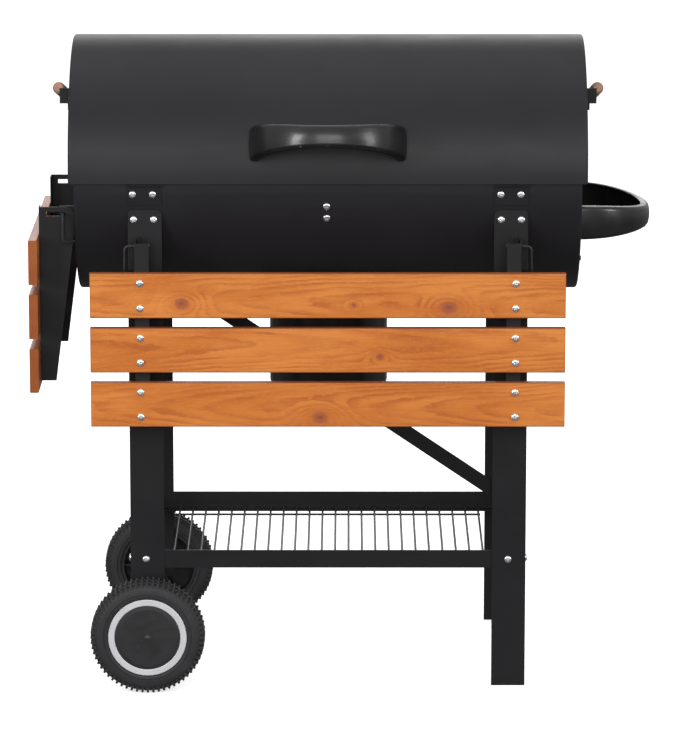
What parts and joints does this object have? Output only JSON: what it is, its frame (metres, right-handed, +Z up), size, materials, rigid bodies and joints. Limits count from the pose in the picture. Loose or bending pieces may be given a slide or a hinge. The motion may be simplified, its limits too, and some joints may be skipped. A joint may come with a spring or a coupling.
{
  "type": "charcoal barrel grill",
  "caption": "Charcoal barrel grill on a wheeled steel cart, with hinged lid, folding wooden front and side shelves, wire bottom shelf and ash bucket.",
  "frame": {"origin": "on the floor, under the middle of the whole object", "axes": "+X along the barrel towards the side handle, +Y to the back, where the lid is hinged, +Z up"},
  "size_m": [0.9764, 0.5524, 1.007],
  "materials": {
    "barrel_enamel": "satin",
    "frame_paint": "satin",
    "wire_paint": "satin",
    "pine": "satin",
    "dowel": "satin",
    "zinc": "satin",
    "handle_plastic": "gloss",
    "wheel_plastic": "matte",
    "ring_silver": "satin",
    "tyre_rubber": "matte",
    "grate_steel": "polished",
    "bucket_enamel": "gloss"
  },
  "bodies": {
    "cart": {"ash_collar": "frame_paint", "axle": "zinc", "axle_nuts": "zinc", "bucket_rails": "frame_paint", "drum_left_cap": "barrel_enamel", "drum_right_cap": "barrel_enamel", "drum_screws": "zinc", "drum_wrap": "barrel_enamel", "frame_bolts": "zinc", "front_beam": "frame_paint", "front_left_leg": "frame_paint", "front_right_leg": "frame_paint", "grate_ledges": "frame_paint", "lid_hinge_fixed_leaves": "frame_paint", "lid_hinge_pins": "zinc", "lid_rests": "frame_paint", "rear_beam": "frame_paint", "rear_brace": "frame_paint", "rear_left_leg": "frame_paint", "rear_right_leg": "frame_paint", "shelf_hinge_ears": "frame_paint", "shelf_hinge_wires": "wire_paint", "side_beams": "frame_paint", "side_handle": "handle_plastic", "vent_rivets": "zinc", "wire_shelf": "wire_paint"},
    "lid": {"lid_wrap": "barrel_enamel", "lid_left_cap": "barrel_enamel", "lid_right_cap": "barrel_enamel", "lid_handle": "handle_plastic", "lid_handle_screws": "zinc", "grip_brackets": "frame_paint", "wooden_grips": "dowel", "lid_hinge_lid_leaves": "frame_paint"},
    "front_shelf": {"front_shelf_bottom_slat": "pine", "front_shelf_left_arm": "frame_paint", "front_shelf_middle_slat": "pine", "front_shelf_right_arm": "frame_paint", "front_shelf_screws": "zinc", "front_shelf_top_slat": "pine"},
    "side_shelf": {"side_shelf_bottom_slat": "pine", "side_shelf_left_arm": "frame_paint", "side_shelf_middle_slat": "pine", "side_shelf_right_arm": "frame_paint", "side_shelf_screws": "zinc", "side_shelf_top_slat": "pine"},
    "front_wheel": {"front_tyre": "tyre_rubber", "front_wheel_hub": "wheel_plastic", "front_wheel_ring": "ring_silver", "front_wheel_cap": "wheel_plastic"},
    "rear_wheel": {"rear_tyre": "tyre_rubber", "rear_wheel_hub": "wheel_plastic", "rear_wheel_ring": "ring_silver", "rear_wheel_cap": "wheel_plastic"},
    "ash_bucket": {"ash_bucket": "bucket_enamel"},
    "charcoal_grate": {"charcoal_grate": "grate_steel"},
    "left_cooking_grate": {"left_cooking_grate": "grate_steel"},
    "right_cooking_grate": {"right_cooking_grate": "grate_steel"},
    "left_vent_damper": {"left_vent_damper": "barrel_enamel"},
    "right_vent_damper": {"right_vent_damper": "barrel_enamel"}
  },
  "joints": [
    {"name": "lid_hinge", "type": "hinge", "parent": "cart", "child": "lid", "pos_m": [-0.02125, 0.24518, 0.8], "axis": [-1, 0, 0], "range_deg": [0, 95]},
    {"name": "front_shelf_hinge", "type": "hinge", "parent": "cart", "child": "front_shelf", "pos_m": [-0.02125, -0.17832, 0.709], "axis": [-1, 0, 0], "range_deg": [0, 90]},
    {"name": "side_shelf_hinge", "type": "hinge", "parent": "cart", "child": "side_shelf", "pos_m": [-0.43275, 0.03518, 0.748], "axis": [0, 1, 0], "range_deg": [0, 90]},
    {"name": "front_wheel_spin", "type": "hinge", "parent": "cart", "child": "front_wheel", "pos_m": [-0.30425, -0.18582, 0.09], "axis": [0, 1, 0], "continuous": true},
    {"name": "rear_wheel_spin", "type": "hinge", "parent": "cart", "child": "rear_wheel", "pos_m": [-0.30425, 0.25618, 0.09], "axis": [0, 1, 0], "continuous": true},
    {"name": "left_vent_turn", "type": "hinge", "parent": "cart", "child": "left_vent_damper", "pos_m": [-0.41375, 0.03518, 0.69], "axis": [1, 0, 0], "range_deg": [0, 60]},
    {"name": "right_vent_turn", "type": "hinge", "parent": "cart", "child": "right_vent_damper", "pos_m": [0.37125, 0.03518, 0.69], "axis": [1, 0, 0], "range_deg": [0, 60]},
    {"name": "ash_bucket_slide", "type": "slide", "parent": "cart", "child": "ash_bucket", "axis": [0, -1, 0], "range_m": [0, 0.14]},
    {"name": "charcoal_grate_lift", "type": "slide", "parent": "cart", "child": "charcoal_grate", "axis": [0, 0, 1], "range_m": [0, 0.06]},
    {"name": "left_cooking_grate_lift", "type": "slide", "parent": "cart", "child": "left_cooking_grate", "axis": [0, 0, 1], "range_m": [0, 0.06]},
    {"name": "right_cooking_grate_lift", "type": "slide", "parent": "cart", "child": "right_cooking_grate", "axis": [0, 0, 1], "range_m": [0, 0.06]}
  ]
}
